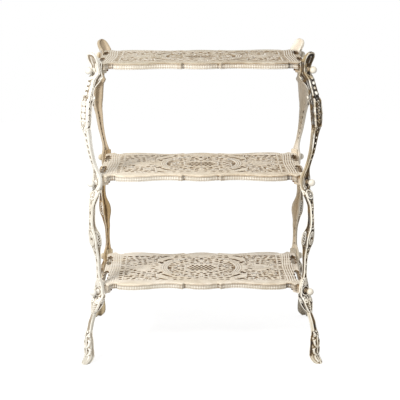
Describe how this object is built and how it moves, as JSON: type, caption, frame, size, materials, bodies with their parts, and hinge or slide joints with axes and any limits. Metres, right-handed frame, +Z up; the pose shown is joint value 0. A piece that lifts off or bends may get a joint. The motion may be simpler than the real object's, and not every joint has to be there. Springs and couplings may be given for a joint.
{
  "type": "plant shelf",
  "caption": "Tiered cast iron plant stand: flat openwork shelves with serpentine edges, bolted between scrolled cabriole corner posts, for standing potted plants on.",
  "frame": {"origin": "on the floor, below the centre of the shelves", "axes": "+X to the right along the long edge of the shelves, +Y from the front to the rear, +Z up"},
  "size_m": [0.7172, 0.5112, 0.919],
  "materials": {
    "shelf_paint": "old cream oil paint, dull, worn tan on top and dark in the piercings",
    "post_paint": "old cream oil paint, dull, with dark patina in the hollows of the relief",
    "bolt_paint": "old cream oil paint, rubbed through at the ball's end",
    "nut_iron": "dry brown rust"
  },
  "bodies": {
    "root": {"shelf_bottom": "shelf_paint", "shelf_middle": "shelf_paint", "shelf_top": "shelf_paint", "upper_post_front_left": "post_paint", "upper_post_front_right": "post_paint", "upper_post_rear_right": "post_paint", "upper_post_rear_left": "post_paint", "middle_post_front_left": "post_paint", "middle_post_front_right": "post_paint", "middle_post_rear_right": "post_paint", "middle_post_rear_left": "post_paint", "leg_front_left": "post_paint", "leg_front_right": "post_paint", "leg_rear_right": "post_paint", "leg_rear_left": "post_paint", "ball_bolt_bottom_front_left": "bolt_paint", "ball_bolt_bottom_front_right": "bolt_paint", "ball_bolt_bottom_rear_right": "bolt_paint", "ball_bolt_bottom_rear_left": "bolt_paint", "ball_bolt_middle_front_left": "bolt_paint", "ball_bolt_middle_front_right": "bolt_paint", "ball_bolt_middle_rear_right": "bolt_paint", "ball_bolt_middle_rear_left": "bolt_paint", "ball_bolt_top_front_left": "bolt_paint", "ball_bolt_top_front_right": "bolt_paint", "ball_bolt_top_rear_right": "bolt_paint", "ball_bolt_top_rear_left": "bolt_paint", "square_nut_bottom_front_left": "nut_iron", "square_nut_bottom_front_right": "nut_iron", "square_nut_bottom_rear_right": "nut_iron", "square_nut_bottom_rear_left": "nut_iron", "square_nut_middle_front_left": "nut_iron", "square_nut_middle_front_right": "nut_iron", "square_nut_middle_rear_right": "nut_iron", "square_nut_middle_rear_left": "nut_iron", "square_nut_top_front_left": "nut_iron", "square_nut_top_front_right": "nut_iron", "square_nut_top_rear_right": "nut_iron", "square_nut_top_rear_left": "nut_iron"}
  },
  "joints": []
}
